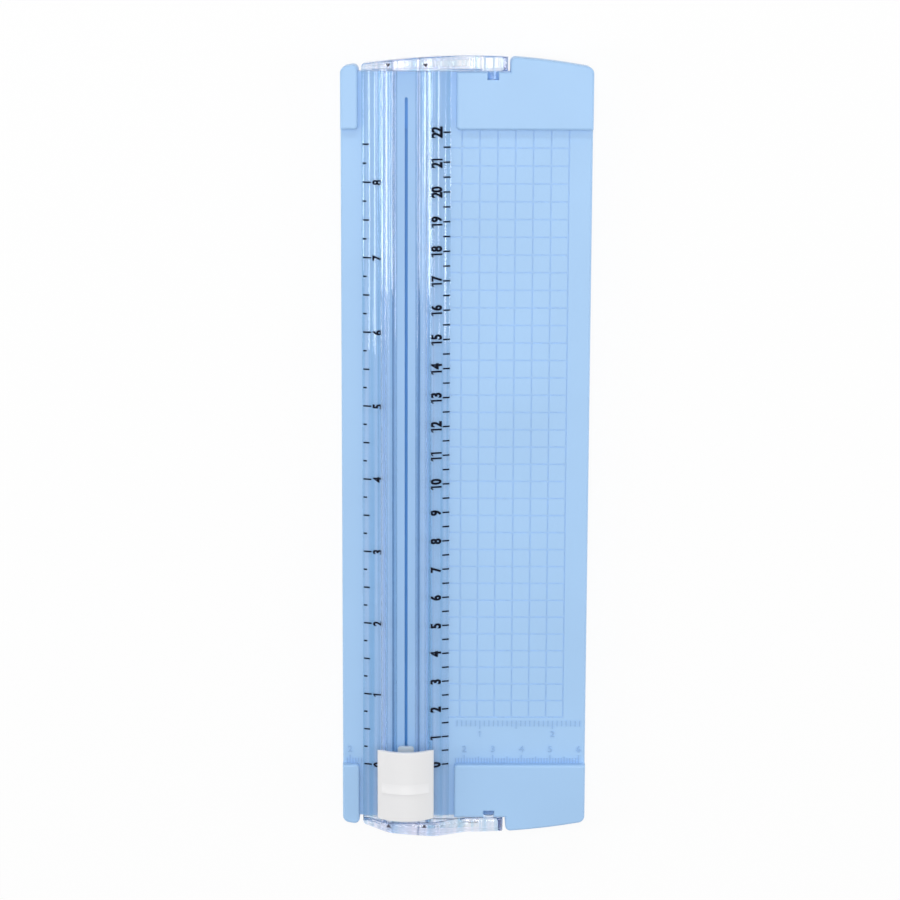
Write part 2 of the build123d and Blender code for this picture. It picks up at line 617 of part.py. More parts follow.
def slider_cap():
    """The push cap: an arched tunnel with hooks under the rail's lips, blade lugs and spring pads."""
    outer = arched_face(CAP_HALF, CAP_BOTTOM_Z, CAP_SHOULDER_Z, CAP_CROWN_Z)
    outer = fillet(outer.vertices().group_by(Axis.Z)[-1], CAP_SHOULDER_ROUND)
    inner = arched_face(CAP_INNER_HALF, CAP_HOOK_TOP_Z, CAP_EAVES_Z, CAP_CROWN_Z - CAP_ROOF)
    mouth_x = around(CUT_X, CAP_INNER_HALF - CAP_HOOK_REACH)
    mouth = block(mouth_x, around(SLIDER_Y, SLIDER_LENGTH), (BED_HEIGHT, CAP_EAVES_Z))
    prism = along_slider(outer)
    rims = prism.faces().filter_by(Axis.Y).edges().group_by(Axis.Z)[1:]
    prism = fillet([edge for group in rims for edge in group], CAP_RIM_ROUND)
    shell = prism - along_slider(inner) - mouth - rear_sweep()

    roof_z = CAP_CROWN_Z - CAP_ROOF / 2
    lug_y = around(SLIDER_Y, LUG_LENGTH / 2)
    lugs = block(around(CUT_X, LUG_HALF), lug_y, (LUG_BOTTOM_Z, roof_z))
    lugs -= block(around(CUT_X, CARRIER_HALF), lug_y, (LUG_BOTTOM_Z, BLADE_TOP_Z))
    lugs -= blade_pin(BLADE_PIN_GAP)
    pad = extrude(Circle(SPRING_PAD_RADIUS), amount=roof_z - SPRING_PAD_Z)
    pads = [place * pad for place in spring_places(SPRING_PAD_Z)]
    return shell + lugs + pads + finger_ridge()


def slider_runner():
    """The runner: a plate in the rail's channel, a keel in its slot, a blade window and a thin nose."""
    front_y, rear_y = around(SLIDER_Y, SLIDER_LENGTH / 2)
    front_y += RUNNER_FRONT_INSET
    plate_y = (front_y, rear_y - RUNNER_REAR_INSET)
    plate_z = (RUNNER_BOTTOM_Z, RUNNER_TOP_Z)
    plate = block(around(CUT_X, CHANNEL_HALF - SLIDE_GAP), plate_y, plate_z)
    keel = block(around(CUT_X, KEEL_HALF), plate_y, (BED_HEIGHT + KEEL_CLEARANCE, RUNNER_TOP_Z))
    nose_y = (plate_y[1] - NOSE_THICKNESS, rear_y - NOSE_INSET)
    nose = block(around(CUT_X, KEEL_HALF), nose_y, (RUNNER_TOP_Z - NOSE_THICKNESS, RUNNER_TOP_Z))
    nose = fillet(nose.edges().filter_by(Axis.Z).group_by(Axis.Y)[-1], NOSE_ROUND)
    window_y = around(SLIDER_Y, CARRIER_LENGTH / 2 + CARRIER_GAP)
    window = block(around(CUT_X, WINDOW_HALF), window_y, (BED_HEIGHT, RUNNER_TOP_Z))
    post = extrude(Circle(SPRING_POST_RADIUS), amount=SPRING_POST_HEIGHT)
    posts = [place * post for place in spring_places(RUNNER_TOP_Z)]
    return plate + keel + nose - window + posts


def blade_carrier(side):
    """One half of the blade carrier, on the left (-1) or the right (1) of the blade."""
    middle_x = CUT_X + side * (BLADE_THICKNESS + CARRIER_WALL) / 2
    bottom_z = BED_HEIGHT + PRESS_TRAVEL + CARRIER_BED_CLEARANCE
    body_y = around(SLIDER_Y, CARRIER_LENGTH / 2)
    body = block(around(middle_x, CARRIER_WALL / 2), body_y, (bottom_z, BLADE_TOP_Z))
    return body - blade_pin(BLADE_PIN_GAP)


def cutting_blade():
    """The double-edged blade: a rectangle of sheet steel that narrows to a point."""
    half_length = BLADE_LENGTH / 2
    bevel_z = BLADE_TIP_Z + BLADE_BEVEL_HEIGHT
    outline = Polyline(
        (-half_length, BLADE_TOP_Z),
        (-half_length, bevel_z),
        (0, BLADE_TIP_Z),
        (half_length, bevel_z),
        (half_length, BLADE_TOP_Z),
        close=True,
    )
    sheet = extrude(make_face(Plane.YZ * outline), amount=BLADE_THICKNESS / 2, both=True)
    return Pos(CUT_X, SLIDER_Y, 0) * sheet - blade_pin(BLADE_PIN_GAP)


def press_spring():
    """One coil spring between the runner and the cap, standing on the origin."""
    coil_height = SPRING_LENGTH - SPRING_WIRE
    coil = Helix(pitch=coil_height / SPRING_TURNS, height=coil_height, radius=SPRING_RADIUS)
    wire = Plane(coil @ 0, z_dir=coil % 0) * Circle(SPRING_WIRE / 2)
    return Pos(0, 0, SPRING_WIRE / 2) * sweep(wire, path=coil)


front_spring, rear_spring = spring_places(RUNNER_TOP_Z + SPRING_SEAT_GAP)
pieces = {
    "base_shell": base_shell(),
    "bottom_cover": bottom_cover(),
    "cover_screws": cover_screws(),
    "clear_rail": clear_rail(),
    "slider_cap": slider_cap(),
    "slider_runner": slider_runner(),
    "blade_carrier_left": blade_carrier(-1),
    "blade_carrier_right": blade_carrier(1),
    "cutting_blade": cutting_blade(),
    "blade_pin": blade_pin(0),
    "press_spring_front": front_spring * press_spring(),
    "press_spring_rear": rear_spring * press_spring(),
}
for name, place in foot_places().items():
    pieces[name] = rubber_foot(place)

os.makedirs("parts", exist_ok=True)
for name, piece in pieces.items():
    export_step(piece, f"parts/{name}.step")
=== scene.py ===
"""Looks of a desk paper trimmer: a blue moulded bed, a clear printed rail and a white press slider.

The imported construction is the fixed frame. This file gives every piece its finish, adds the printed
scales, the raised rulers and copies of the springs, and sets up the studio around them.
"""

import logging
import math
from collections.abc import Iterable
from dataclasses import dataclass, field
from enum import Enum

import bmesh
import bpy
from mathutils import Matrix, Vector
from mathutils.bvhtree import BVHTree

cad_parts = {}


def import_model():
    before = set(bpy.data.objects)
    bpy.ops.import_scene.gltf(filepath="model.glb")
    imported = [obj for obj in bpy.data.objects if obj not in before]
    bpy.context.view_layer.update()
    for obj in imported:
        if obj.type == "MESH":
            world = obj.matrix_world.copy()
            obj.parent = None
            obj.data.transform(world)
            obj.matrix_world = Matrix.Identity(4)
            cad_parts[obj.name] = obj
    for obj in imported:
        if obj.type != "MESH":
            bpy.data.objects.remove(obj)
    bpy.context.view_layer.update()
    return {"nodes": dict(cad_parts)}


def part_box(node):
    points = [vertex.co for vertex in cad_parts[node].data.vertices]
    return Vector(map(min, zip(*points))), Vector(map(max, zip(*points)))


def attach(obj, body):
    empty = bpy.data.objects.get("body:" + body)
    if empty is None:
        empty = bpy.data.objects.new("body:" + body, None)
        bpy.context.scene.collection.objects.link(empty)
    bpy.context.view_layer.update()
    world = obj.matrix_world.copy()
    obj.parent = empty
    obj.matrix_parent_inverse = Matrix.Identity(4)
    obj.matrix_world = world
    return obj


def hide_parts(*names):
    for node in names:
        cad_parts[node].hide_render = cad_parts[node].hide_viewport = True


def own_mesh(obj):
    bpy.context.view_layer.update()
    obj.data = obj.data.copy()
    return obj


LOG = logging.getLogger("paper_trimmer")

# All lengths are in metres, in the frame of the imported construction.
MM = 0.001
INCH = 25.4 * MM
CENTIMETRE = 10.0 * MM
MM_IN_HALF_CENTIMETRE = 5
MM_IN_CENTIMETRE = 10
QUARTERS_IN_INCH = 4

Triple = tuple[float, float, float]
Colour = Triple
Span = tuple[float, float]
Counts = tuple[int, int]
Socket = bpy.types.NodeSocket

WHITE: Colour = (1.0, 1.0, 1.0)
EVEN_GRAIN: Triple = (1.0, 1.0, 1.0)

# Most values of a noise texture lie between these two.
NOISE_REACH: Span = (0.3, 0.7)

# Points of a drawing that are closer than this become one point.
WELD: float = 0.001 * MM

# Rays that show the studio, where the other rays light the trimmer.
SEEN_RAYS: tuple[str, ...] = ("Is Camera Ray", "Is Glossy Ray", "Is Transmission Ray")


class Body(Enum):
    """The bodies of the trimmer that carry new pieces."""

    BASE = "base"
    RAIL = "rail"
    RUNNER = "runner"


class Slot(Enum):
    """Names of material slots."""

    BASE = "base_plastic"
    STEEL = "steel"


class Turn(Enum):
    """How many degrees a number is turned on the surface that it is written on."""

    UPRIGHT = 0.0
    READ_FROM_RIGHT = 90.0


class NodeBoard:
    """The node tree of one material or of the room, with short ways to fill it."""

    def __init__(self, owner: bpy.types.Material | bpy.types.World) -> None:
        """Starts an empty node tree.

        Args:
            owner: The material or the world that the tree belongs to.
        """
        owner.use_nodes = True
        self.tree: bpy.types.NodeTree = owner.node_tree
        self.tree.nodes.clear()
        kind = "World" if isinstance(owner, bpy.types.World) else "Material"
        self.output: bpy.types.Node = self.add(f"ShaderNodeOutput{kind}")
        coordinates = self.add("ShaderNodeTexCoord")
        self.place: Socket = coordinates.outputs["Object"]
        self.upright: Socket = coordinates.outputs["Normal"]
        self.outward: Socket = coordinates.outputs["Generated"]

    def add(self, kind: str) -> bpy.types.Node:
        """Adds one node of a kind."""
        return self.tree.nodes.new(kind)

    def join(self, source: Socket, target: Socket) -> None:
        """Links an output to an input."""
        self.tree.links.new(source, target)

    def noise(self, grain: float, detail: float = 2.0, stretch: Triple = EVEN_GRAIN) -> Socket:
        """Adds solid noise that moves with the piece.

        Args:
            grain: Length of one bump of the noise, in metres.
            detail: Octaves of finer noise.
            stretch: How many times longer the grain is along X, Y and Z.

        Returns:
            The noise's value, from 0 to 1.
        """
        mapping = self.add("ShaderNodeMapping")
        mapping.inputs["Scale"].default_value = [1.0 / length for length in stretch]
        self.join(self.place, mapping.inputs["Vector"])
        texture = self.add("ShaderNodeTexNoise")
        texture.inputs["Scale"].default_value = 1.0 / grain
        texture.inputs["Detail"].default_value = detail
        self.join(mapping.outputs["Vector"], texture.inputs["Vector"])
        return texture.outputs["Fac"]

    def spread(
        self,
        value: Socket,
        low: float,
        high: float,
        ends: Span = NOISE_REACH,
        course: str = "LINEAR",
    ) -> Socket:
        """Spreads a value over a range.

        Args:
            value: A value, such as a noise value.
            low: What the value becomes at the low end and below.
            high: What the value becomes at the high end and above.
            ends: The values between which it changes.
            course: Blender's name for how it runs from one end to the other.

        Returns:
            The value in its new range.
        """
        remap = self.add("ShaderNodeMapRange")
        remap.interpolation_type = course
        remap.inputs["From Min"].default_value = ends[0]
        remap.inputs["From Max"].default_value = ends[1]
        remap.inputs["To Min"].default_value = low
        remap.inputs["To Max"].default_value = high
        self.join(value, remap.inputs["Value"])
        return remap.outputs["Result"]

    def shade(self, value: Socket, first: Colour, second: Colour, ends: Span = NOISE_REACH) -> Socket:
        """Runs a colour between two tones.

        Args:
            value: A value, such as a noise value.
            first: The colour at the low end and below.
            second: The colour at the high end and above.
            ends: The values between which the colour changes.

        Returns:
            The colour.
        """
        ramp = self.add("ShaderNodeValToRGB")
        for element, position, tone in zip(ramp.color_ramp.elements, ends, (first, second)):
            element.position = position
            element.color = (*tone, 1.0)
        self.join(value, ramp.inputs["Fac"])
        return ramp.outputs["Color"]

    def relief(self, height: Socket, depth: float) -> Socket:
        """Adds a bump.

        Args:
            height: The height, from 0 to 1.
            depth: How far the bump rises, in metres.

        Returns:
            The bent normal.
        """
        bump = self.add("ShaderNodeBump")
        bump.inputs["Strength"].default_value = 1.0
        bump.inputs["Distance"].default_value = depth
        self.join(height, bump.inputs["Height"])
        return bump.outputs["Normal"]

    def any_ray(self, *names: str) -> Socket:
        """Tells whether a ray is one of several kinds.

        Args:
            names: Outputs of the Light Path node.

        Returns:
            1 for such a ray, and 0 for another.
        """
        path = self.add("ShaderNodeLightPath")
        found = path.outputs[names[0]]
        for name in names[1:]:
            found = self.maths("MAXIMUM", found, path.outputs[name])
        return found

    def along(self, vector: Socket, axis: str) -> Socket:
        """Takes a vector's part along one axis.

        Args:
            vector: The vector.
            axis: X, Y or Z.

        Returns:
            The part.
        """
        split = self.add("ShaderNodeSeparateXYZ")
        self.join(vector, split.inputs["Vector"])
        return split.outputs[axis]

    def maths(self, operation: str, value: Socket, number: float | Socket = 0.0) -> Socket:
        """Works out one sum.

        Args:
            operation: Blender's name for it.
            value: The first value.
            number: The second value, fixed or from another node.

        Returns:
            The result.
        """
        sum_node = self.add("ShaderNodeMath")
        sum_node.operation = operation
        self.join(value, sum_node.inputs[0])
        if isinstance(number, Socket):
            self.join(number, sum_node.inputs[1])
        else:
            sum_node.inputs[1].default_value = number
        return sum_node.outputs["Value"]

    def multiply(self, first: Socket, second: Socket) -> Socket:
        """Multiplies two colours.

        Args:
            first: The first colour.
            second: The second colour.

        Returns:
            Their product.
        """
        product = self.add("ShaderNodeVectorMath")
        product.operation = "MULTIPLY"
        self.join(first, product.inputs[0])
        self.join(second, product.inputs[1])
        return product.outputs["Vector"]

    def mix(self, share: Socket, first: Socket, second: Socket) -> Socket:
        """Mixes two shaders.

        Args:
            share: The second shader's share.
            first: The first shader.
            second: The second shader.

        Returns:
            The mixed shader.
        """
        mixer = self.add("ShaderNodeMixShader")
        self.join(share, mixer.inputs[0])
        self.join(first, mixer.inputs[1])
        self.join(second, mixer.inputs[2])
        return mixer.outputs["Shader"]

    def close(self, shader: Socket) -> None:
        """Ends the tree with the shader that the surface shows."""
        self.join(shader, self.output.inputs["Surface"])


def toned(colour: Colour, share: float) -> Colour:
    """Makes a colour lighter or darker by a share."""
    return tuple(channel * share for channel in colour)


@dataclass(frozen=True)
class Finish:
    """What all finishes have: a name, and a material made once."""

    name: str

    def material(self) -> bpy.types.Material:
        """Gives the finish's material, and makes it at the first call.

        Returns:
            The material.
        """
        made = bpy.data.materials.get(self.name)
        if made is None:
            made = bpy.data.materials.new(self.name)
            self.fill(NodeBoard(made))
        return made

    def fill(self, board: NodeBoard) -> None:
        """Fills the material's node tree."""
        raise NotImplementedError


@dataclass(frozen=True)
class Groove:
    """A narrow groove along Y that gets painted shade: the colour of its walls and floor is darkened and
    deepened to stand in for the shade in it.
    """

    middle: float
    half_width: float
    half_length: float
    top: float
    tone: Colour

    def deepen(self, board: NodeBoard, colour: Socket) -> Socket:
        """Paints shade in the groove by multiplying the colour there by a darker, deeper tone.

        Args:
            board: The node tree.
            colour: The colour outside the groove.

        Returns:
            The colour everywhere.
        """
        across = board.maths("SUBTRACT", board.along(board.place, "X"), self.middle)
        beside = board.maths("LESS_THAN", board.maths("ABSOLUTE", across), self.half_width)
        lengthwise = board.maths("ABSOLUTE", board.along(board.place, "Y"))
        between = board.maths("LESS_THAN", lengthwise, self.half_length)
        below = board.maths("LESS_THAN", board.along(board.place, "Z"), self.top)
        # Painted shade: where this mask is 1, the colour is multiplied by the groove's darker tone.
        groove_shade_mask = board.maths("MULTIPLY", board.maths("MULTIPLY", beside, below), between)
        return board.multiply(colour, board.shade(groove_shade_mask, WHITE, self.tone, (0.0, 1.0)))


@dataclass(frozen=True)
class MouldedPlastic(Finish):
    """Opaque injection-moulded plastic with a fine spark-eroded grain."""

    colour: Colour = (0.5, 0.5, 0.5)
    mottle: float = 0.025
    roughness: Span = (0.36, 0.46)
    grain: float = 0.35 * MM
    grain_depth: float = 0.006 * MM
    flow: float = 38.0 * MM
    specular: float = 0.3
    groove: Groove | None = None

    def fill(self, board: NodeBoard) -> None:
        """Makes plastic whose tone drifts slowly, with a fine grain in its gloss and its relief.

        Args:
            board: The node tree.
        """
        skin = board.add("ShaderNodeBsdfPrincipled")
        skin.inputs["Specular IOR Level"].default_value = self.specular
        drift = board.noise(self.flow, detail=3.0)
        fine = board.noise(self.grain, detail=3.0)
        tones = toned(self.colour, 1.0 - self.mottle), toned(self.colour, 1.0 + self.mottle)
        colour = board.shade(drift, *tones)
        # Painted shade in the cutting groove, when one is given.
        if self.groove is not None:
            colour = self.groove.deepen(board, colour)
        board.join(colour, skin.inputs["Base Color"])
        board.join(board.spread(fine, *self.roughness), skin.inputs["Roughness"])
        board.join(board.relief(fine, self.grain_depth), skin.inputs["Normal"])
        board.close(skin.outputs["BSDF"])


@dataclass(frozen=True)
class DrawLine:
    """A long line of painted shade in clear plastic, at a wall or a crease under its face, where the real
    plastic bends the light.
    """

    off_middle: float
    half_width: float
    tone: Colour
    soft_edge: Span = (0.35, 1.0)


@dataclass(frozen=True)
class ClearPlastic(Finish):
    """Clear moulded plastic that lets lamps reach what lies under it."""

    middle: float = 0.0
    colour: Colour = (0.96, 0.98, 0.995)
    # Painted shade: lengthwise streaks and long lines darken the light let through, standing in for the
    # stripes that the rail's walls and ripples cast.
    streak_colour: Colour = (0.64, 0.82, 0.915)
    streak: float = 1.5 * MM
    streak_way: Triple = (1.0, 150.0, 40.0)
    streak_ends: Span = (0.36, 0.62)
    lines: tuple[DrawLine, ...] = (
        DrawLine(4.45 * MM, 0.45 * MM, (0.48, 0.54, 0.63)),
        DrawLine(6.50 * MM, 0.25 * MM, (0.80, 0.85, 0.90)),
        DrawLine(9.30 * MM, 0.25 * MM, (0.86, 0.86, 0.90)),
    )
    clarity: float = 0.96
    body_tint: Colour = (0.26, 0.27, 0.87)
    body_density: float = 22.0
    shade: Colour = (0.95, 0.965, 0.98)
    wall_shade: Colour = (0.78, 0.85, 0.92)
    wall_level: Span = (0.25, 0.60)
    index: float = 1.49
    gloss: float = 0.4
    roughness: Span = (0.01, 0.05)
    smear: float = 9.0 * MM
    smear_way: Triple = (1.0, 4.0, 1.0)
    ripple: float = 1.6 * MM
    ripple_depth: float = 0.40 * MM

    def fill(self, board: NodeBoard) -> None:
        """Makes clear plastic with faint handling smears and a slight ripple, with painted shade as long
        lines and lengthwise streaks.

        Args:
            board: The node tree.
        """
        glass = board.add("ShaderNodeBsdfPrincipled")
        glass.inputs["Transmission Weight"].default_value = self.clarity
        glass.inputs["IOR"].default_value = self.index
        glass.inputs["Specular IOR Level"].default_value = self.gloss
        smears = board.noise(self.smear, detail=4.0, stretch=self.smear_way)
        ripples = board.noise(self.ripple, detail=1.0, stretch=self.streak_way)
        board.join(self.tint(board), glass.inputs["Base Color"])
        board.join(board.spread(smears, *self.roughness), glass.inputs["Roughness"])
        board.join(board.relief(ripples, self.ripple_depth), glass.inputs["Normal"])
        body = board.add("ShaderNodeVolumeAbsorption")
        body.inputs["Color"].default_value = (*self.body_tint, 1.0)
        body.inputs["Density"].default_value = self.body_density
        board.join(body.outputs["Volume"], board.output.inputs["Volume"])
        open_way = board.add("ShaderNodeBsdfTransparent")
        level = board.maths("ABSOLUTE", board.along(board.upright, "Z"))
        let_through = board.shade(level, self.wall_shade, self.shade, self.wall_level)
        board.join(let_through, open_way.inputs["Color"])
        shell = glass.outputs["BSDF"]
        for ray in ("Is Shadow Ray", "Is Diffuse Ray"):
            shell = board.mix(board.any_ray(ray), shell, open_way.outputs["BSDF"])
        board.close(shell)

    def tint(self, board: NodeBoard) -> Socket:
        """Paints shade into the plastic's colour: lengthwise streaks, and long dark lines at the walls and
        creases.

        Args:
            board: The node tree to draw them in.

        Returns:
            The colour of light that the plastic lets through.
        """
        # Painted shade: streaks along Y in the light let through.
        drift = board.noise(self.streak, detail=3.0, stretch=self.streak_way)
        colour = board.shade(drift, self.streak_colour, self.colour, self.streak_ends)
        across = board.maths("SUBTRACT", board.along(board.place, "X"), self.middle)
        away = board.maths("ABSOLUTE", across)
        # Painted shade: darker lines at the walls and creases under the face.
        for line in self.lines:
            miss = board.maths("ABSOLUTE", board.maths("SUBTRACT", away, line.off_middle))
            share = board.maths("DIVIDE", miss, line.half_width)
            colour = board.multiply(colour, board.shade(share, line.tone, WHITE, line.soft_edge))
        return colour


@dataclass(frozen=True)
class MilkyPlastic(Finish):
    """Translucent natural plastic, as slides and runners are moulded from."""

    colour: Colour = (0.82, 0.92, 0.99)
    clarity: float = 0.25
    index: float = 1.49
    cloud: float = 4.0 * MM
    clouding: Span = (0.93, 1.05)
    roughness: Span = (0.28, 0.42)
    grain: float = 0.5 * MM
    grain_depth: float = 0.008 * MM

    def fill(self, board: NodeBoard) -> None:
        """Makes cloudy plastic that shows some of what is behind it.

        Args:
            board: The node tree.
        """
        skin = board.add("ShaderNodeBsdfPrincipled")
        skin.inputs["Transmission Weight"].default_value = self.clarity
        skin.inputs["IOR"].default_value = self.index
        clouds = board.noise(self.cloud, detail=3.0)
        fine = board.noise(self.grain)
        tones = [toned(self.colour, share) for share in self.clouding]
        board.join(board.shade(clouds, *tones), skin.inputs["Base Color"])
        board.join(board.spread(fine, *self.roughness), skin.inputs["Roughness"])
        board.join(board.relief(fine, self.grain_depth), skin.inputs["Normal"])
        board.close(skin.outputs["BSDF"])


@dataclass(frozen=True)
class BrushedSteel(Finish):
    """Bright steel with fine grinding marks along one way."""

    colour: Colour = (0.62, 0.63, 0.65)
    roughness: Span = (0.18, 0.34)
    stain: float = 3.0 * MM
    stain_tone: float = 0.92
    brushing: Triple = (1.0, 30.0, 1.0)
    mark: float = 0.08 * MM
    mark_depth: float = 0.002 * MM

    def fill(self, board: NodeBoard) -> None:
        """Makes metal with long fine marks in its gloss and its relief.

        Args:
            board: The node tree.
        """
        skin = board.add("ShaderNodeBsdfPrincipled")
        skin.inputs["Metallic"].default_value = 1.0
        marks = board.noise(self.mark, stretch=self.brushing)
        stains = board.noise(self.stain, detail=3.0)
        stained = toned(self.colour, self.stain_tone)
        board.join(board.shade(stains, stained, self.colour), skin.inputs["Base Color"])
        board.join(board.spread(marks, *self.roughness), skin.inputs["Roughness"])
        board.join(board.relief(marks, self.mark_depth), skin.inputs["Normal"])
        board.close(skin.outputs["BSDF"])


@dataclass(frozen=True)
class SoftRubber(Finish):
    """Matt grey rubber with dust caught in its pores."""

    colour: Colour = (0.10, 0.105, 0.115)
    dust: float = 2.5 * MM
    dusting: Span = (0.8, 1.3)
    roughness: Span = (0.66, 0.86)
    pore: float = 0.3 * MM
    pore_depth: float = 0.02 * MM

    def fill(self, board: NodeBoard) -> None:
        """Makes dull rubber with small pores.

        Args:
            board: The node tree.
        """
        skin = board.add("ShaderNodeBsdfPrincipled")
        dust = board.noise(self.dust, detail=4.0)
        pores = board.noise(self.pore)
        tones = [toned(self.colour, share) for share in self.dusting]
        board.join(board.shade(dust, *tones), skin.inputs["Base Color"])
        board.join(board.spread(pores, *self.roughness), skin.inputs["Roughness"])
        board.join(board.relief(pores, self.pore_depth), skin.inputs["Normal"])
        board.close(skin.outputs["BSDF"])


@dataclass(frozen=True)
class PrintInk(Finish):
    """A thin film of pad-printed ink."""

    colour: Colour = (0.004, 0.005, 0.012)
    thinning: float = 1.8
    specular: float = 0.1
    roughness: Span = (0.55, 0.70)
    patch: float = 0.6 * MM

    def fill(self, board: NodeBoard) -> None:
        """Makes dark ink that is a little thinner in places.

        Args:
            board: The node tree.
        """
        film = board.add("ShaderNodeBsdfPrincipled")
        film.inputs["Specular IOR Level"].default_value = self.specular
        patches = board.noise(self.patch, detail=3.0)
        thin = toned(self.colour, self.thinning)
        board.join(board.shade(patches, self.colour, thin), film.inputs["Base Color"])
        board.join(board.spread(patches, *self.roughness), film.inputs["Roughness"])
        board.close(film.outputs["BSDF"])


@dataclass(frozen=True)
class PaperSweep(Finish):
    """A white studio floor that stays white to the eye and keeps a soft shadow."""

    colour: Colour = (0.93, 0.93, 0.93)
    glow: float = 0.90
    fibre: float = 1.5 * MM
    fibre_tone: float = 0.995

    def fill(self, board: NodeBoard) -> None:
        """Makes white paper whose lit side carries the shadow and whose own light keeps it white.

        Args:
            board: The node tree.
        """
        paper = board.add("ShaderNodeBsdfDiffuse")
        fibres = board.noise(self.fibre, detail=3.0)
        shaded = toned(self.colour, self.fibre_tone)
        board.join(board.shade(fibres, shaded, self.colour), paper.inputs["Color"])
        white = board.add("ShaderNodeEmission")
        white.inputs["Color"].default_value = (*WHITE, 1.0)
        white.inputs["Strength"].default_value = 1.0
        seen = board.any_ray(*SEEN_RAYS)
        share = board.maths("MULTIPLY", seen, self.glow)
        board.close(board.mix(share, paper.outputs["BSDF"], white.outputs["Emission"]))


def dress(piece: bpy.types.Object, finish: Finish) -> None:
    """Puts a finish on all of a piece.

    Args:
        piece: The piece.
        finish: Its finish.
    """
    if not piece.material_slots:
        piece.data.materials.append(None)
    for slot in piece.material_slots:
        slot.material = finish.material()


@dataclass(frozen=True)
class Figures:
    """How the numbers of a scale are drawn."""

    height: float
    narrowing: float = 0.82
    weight: float = 0.012
    stroke: float = 0.15
    pitch: float = 0.475
    roundness: int = 4
    flag_reach: float = 3.2
    flag_top: float = 0.84
    flag_foot: float = 0.70

    def digit(self, character: str) -> bpy.types.Mesh:
        """Draws one digit flat, with the middle of its foot at the origin.

        Args:
            character: The digit.

        Returns:
            A flat mesh of its faces.
        """
        if character == "1":
            return self.one()
        writing = bpy.data.curves.new("digit", "FONT")
        writing.body = character
        writing.fill_mode = "FRONT"
        writing.offset = self.weight
        writing.resolution_u = self.roundness
        holder = bpy.data.objects.new("digit", writing)
        bpy.context.scene.collection.objects.link(holder)
        seen = bpy.context.evaluated_depsgraph_get()
        flat = bpy.data.meshes.new_from_object(holder.evaluated_get(seen))
        bpy.data.objects.remove(holder)
        bpy.data.curves.remove(writing)
        across = [vertex.co.x for vertex in flat.vertices]
        upward = [vertex.co.y for vertex in flat.vertices]
        tall = self.height / (max(upward) - min(upward))
        to_foot = Matrix.Translation((-(min(across) + max(across)) / 2.0, -min(upward), 0.0))
        flat.transform(Matrix.Diagonal((tall * self.narrowing, tall, 1.0, 1.0)) @ to_foot)
        return flat

    def one(self) -> bpy.types.Mesh:
        """Draws the digit 1 as a plain stem with a short flag.

        Returns:
            A flat mesh of its one face.
        """
        top = self.height
        half = self.stroke * top / 2.0
        tip = -self.flag_reach * half
        stem = [(-half, 0.0), (half, 0.0), (half, top), (-half, top)]
        flag = [(tip, self.flag_top * top), (tip, self.flag_foot * top), (-half, self.flag_top * top)]
        corners = [(x, y, 0.0) for x, y in stem + flag]
        flat = bpy.data.meshes.new("digit")
        flat.from_pydata(corners, [], [range(len(corners))])
        return flat

    def outline(self, text: str) -> bpy.types.Mesh:
        """Draws a number flat, with the middle of its foot at the origin.

        Args:
            text: Its digits.

        Returns:
            A flat mesh of the digits' faces.
        """
        number = bmesh.new()
        for place, character in enumerate(text):
            flat = self.digit(character)
            middle = (place - (len(text) - 1) / 2.0) * self.pitch * self.height
            flat.transform(Matrix.Translation((middle, 0.0, 0.0)))
            number.from_mesh(flat)
            bpy.data.meshes.remove(flat)
        joined = bpy.data.meshes.new("number")
        number.to_mesh(joined)
        number.free()
        return joined


